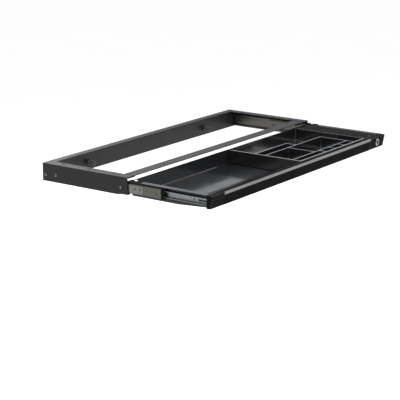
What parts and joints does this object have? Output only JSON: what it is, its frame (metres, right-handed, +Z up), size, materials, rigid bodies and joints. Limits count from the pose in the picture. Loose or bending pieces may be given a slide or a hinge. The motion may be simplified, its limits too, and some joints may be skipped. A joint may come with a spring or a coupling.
{
  "type": "under desk drawer",
  "caption": "Slim lockable drawer that hangs under a desktop on telescopic ball slides, with an open compartment and a moulded pen organizer.",
  "frame": {"origin": "middle of the front cross rail's top face, which lies against the underside of the desk", "axes": "+X to the right along the drawer's width, +Y to the rear, which is the closing direction, +Z up into the desk"},
  "size_m": [0.808, 0.5049, 0.0455],
  "materials": {
    "black_paint": "semi-gloss black powder coat",
    "housing_paint": "satin black powder coat",
    "matte_black": "fine textured black plastic",
    "gloss_black": "glossy moulded black plastic",
    "satin_grey": "satin",
    "zinc_steel": "zinc plated",
    "bright_zinc": "bright zinc plated",
    "chrome": "polished",
    "rubber": "matte",
    "white_nylon": "smooth"
  },
  "bodies": {
    "housing": {"bracket_left": "housing_paint", "bracket_right": "housing_paint", "front_cross_rail": "housing_paint", "rear_cross_rail": "housing_paint", "lock_strike": "bright_zinc", "strike_rivet_0": "bright_zinc", "strike_rivet_1": "bright_zinc", "rail_rivet_left": "bright_zinc", "rail_rivet_right": "bright_zinc", "closing_bumper_left": "rubber", "closing_bumper_right": "rubber", "slide_outer_left": "zinc_steel", "slide_outer_right": "zinc_steel", "slide_screw_left_0": "bright_zinc", "slide_screw_left_1": "bright_zinc", "slide_screw_right_0": "bright_zinc", "slide_screw_right_1": "bright_zinc", "rear_rail_screw_left": "bright_zinc", "rear_rail_screw_right": "bright_zinc"},
    "drawer": {"tray": "black_paint", "front_panel": "matte_black", "grip_strip": "satin_grey", "end_block_left": "matte_black", "end_block_right": "matte_black", "organizer": "gloss_black", "lock_cover": "matte_black", "lock_barrel": "chrome", "lock_nut": "bright_zinc", "panel_screw_0": "bright_zinc", "panel_screw_1": "bright_zinc", "panel_screw_2": "bright_zinc", "slide_inner_left": "zinc_steel", "slide_inner_right": "zinc_steel", "corner_cap_left": "matte_black", "corner_cap_right": "matte_black", "glide_button_left": "white_nylon", "glide_button_right": "white_nylon", "tray_screw_left_0": "bright_zinc", "tray_screw_left_1": "bright_zinc", "tray_screw_right_0": "bright_zinc", "tray_screw_right_1": "bright_zinc"},
    "middle_left": {"slide_middle_left": "zinc_steel", "slide_cap_left": "matte_black"},
    "middle_right": {"slide_middle_right": "zinc_steel", "slide_cap_right": "matte_black"},
    "outer_cage_left": {"ball_cage_outer_left": "bright_zinc"},
    "outer_cage_right": {"ball_cage_outer_right": "bright_zinc"},
    "inner_cage_left": {"ball_cage_inner_left": "bright_zinc"},
    "inner_cage_right": {"ball_cage_inner_right": "bright_zinc"},
    "lock": {"lock_plug": "chrome", "lock_cam": "bright_zinc", "cam_screw": "bright_zinc"}
  },
  "joints": [
    {"name": "drawer_slide", "type": "slide", "parent": "housing", "child": "drawer", "axis": [0, 1, 0], "range_m": [0, 0.224]},
    {"name": "middle_left_slide", "type": "slide", "parent": "housing", "child": "middle_left", "axis": [0, 1, 0], "range_m": [0, 0.1121]},
    {"name": "middle_right_slide", "type": "slide", "parent": "housing", "child": "middle_right", "axis": [0, 1, 0], "range_m": [0, 0.1121]},
    {"name": "outer_cage_left_slide", "type": "slide", "parent": "housing", "child": "outer_cage_left", "axis": [0, 1, 0], "range_m": [0, 0.0561]},
    {"name": "outer_cage_right_slide", "type": "slide", "parent": "housing", "child": "outer_cage_right", "axis": [0, 1, 0], "range_m": [0, 0.0561]},
    {"name": "inner_cage_left_slide", "type": "slide", "parent": "housing", "child": "inner_cage_left", "axis": [0, 1, 0], "range_m": [0, 0.1681]},
    {"name": "inner_cage_right_slide", "type": "slide", "parent": "housing", "child": "inner_cage_right", "axis": [0, 1, 0], "range_m": [0, 0.1681]},
    {"name": "lock_turn", "type": "hinge", "parent": "drawer", "child": "lock", "pos_m": [0.36, -0.257, -0.0226], "axis": [0, 1, 0], "range_deg": [0, 90]}
  ],
  "couplings": [
    {"joint": "middle_left_slide", "follows": "drawer_slide", "ratio": 0.5},
    {"joint": "middle_right_slide", "follows": "drawer_slide", "ratio": 0.5},
    {"joint": "outer_cage_left_slide", "follows": "drawer_slide", "ratio": 0.25},
    {"joint": "outer_cage_right_slide", "follows": "drawer_slide", "ratio": 0.25},
    {"joint": "inner_cage_left_slide", "follows": "drawer_slide", "ratio": 0.75},
    {"joint": "inner_cage_right_slide", "follows": "drawer_slide", "ratio": 0.75}
  ]
}
